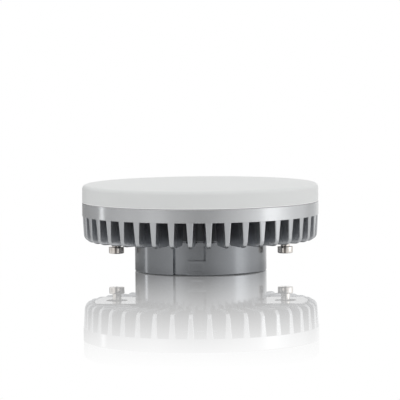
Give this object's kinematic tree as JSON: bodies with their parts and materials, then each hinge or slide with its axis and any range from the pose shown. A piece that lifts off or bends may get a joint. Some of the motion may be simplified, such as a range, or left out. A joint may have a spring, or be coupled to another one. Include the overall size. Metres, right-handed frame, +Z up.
{
  "type": "led disc lamp",
  "caption": "Flat round LED lamp with a two-pin twist-in cap, a finned cast body that takes the heat, and an opal cover.",
  "frame": {"origin": "centre of the boss's flat end face, which the lamp stands on", "axes": "+Z up along the lamp's axis, from the boss to the opal cover; the two contact pins lie on the X axis; -Y is the side with the L-shaped slot that the picture shows"},
  "size_m": [0.074, 0.074, 0.0274],
  "materials": {
    "opal": "opal, satin",
    "casting": "silver lacquer",
    "base_plastic": "silver-grey, semi-gloss",
    "nickel": "nickel plated",
    "brass": "tinned",
    "steel": "zinc plated",
    "white_board": "white solder lacquer on an aluminium core",
    "green_board": "green solder lacquer",
    "pad": "silicone, matt",
    "led_package": "white body, yellow window",
    "film": "polyester film",
    "sleeve": "shrink sleeve on an aluminium can",
    "box": "yellow box",
    "ferrite": "sintered, matt",
    "tape": "yellow winding tape",
    "copper": "enamelled copper wire",
    "epoxy": "moulded epoxy",
    "varistor": "blue lacquer",
    "resistor": "green lacquer",
    "wire_white": "insulation",
    "wire_brown": "insulation",
    "wire_red": "insulation",
    "wire_black": "insulation"
  },
  "bodies": {
    "root": {"base_cap": "base_plastic", "heat_sink": "casting", "diffuser": "opal", "contact_pin_left": "nickel", "contact_pin_right": "nickel", "solder_tag_left": "brass", "solder_tag_right": "brass", "line_wire_left": "wire_white", "line_wire_right": "wire_brown", "output_wire_minus": "wire_black", "output_wire_plus": "wire_red", "driver_board": "green_board", "bulk_capacitor": "sleeve", "output_capacitor": "sleeve", "filter_capacitor": "box", "filter_inductor": "copper", "transformer_core": "ferrite", "transformer_winding": "tape", "fuse_resistor": "resistor", "varistor": "varistor", "bridge_rectifier": "epoxy", "driver_chip": "epoxy", "output_diode": "epoxy", "insulating_sheet": "film", "thermal_pad": "pad", "led_board": "white_board", "assembly_screw_1": "steel", "assembly_screw_2": "steel", "assembly_screw_3": "steel", "led_01": "led_package", "led_02": "led_package", "led_03": "led_package", "led_04": "led_package", "led_05": "led_package", "led_06": "led_package", "led_07": "led_package", "led_08": "led_package", "led_09": "led_package", "led_10": "led_package", "led_11": "led_package", "led_12": "led_package", "led_13": "led_package", "led_14": "led_package", "led_15": "led_package", "led_16": "led_package"}
  },
  "joints": []
}
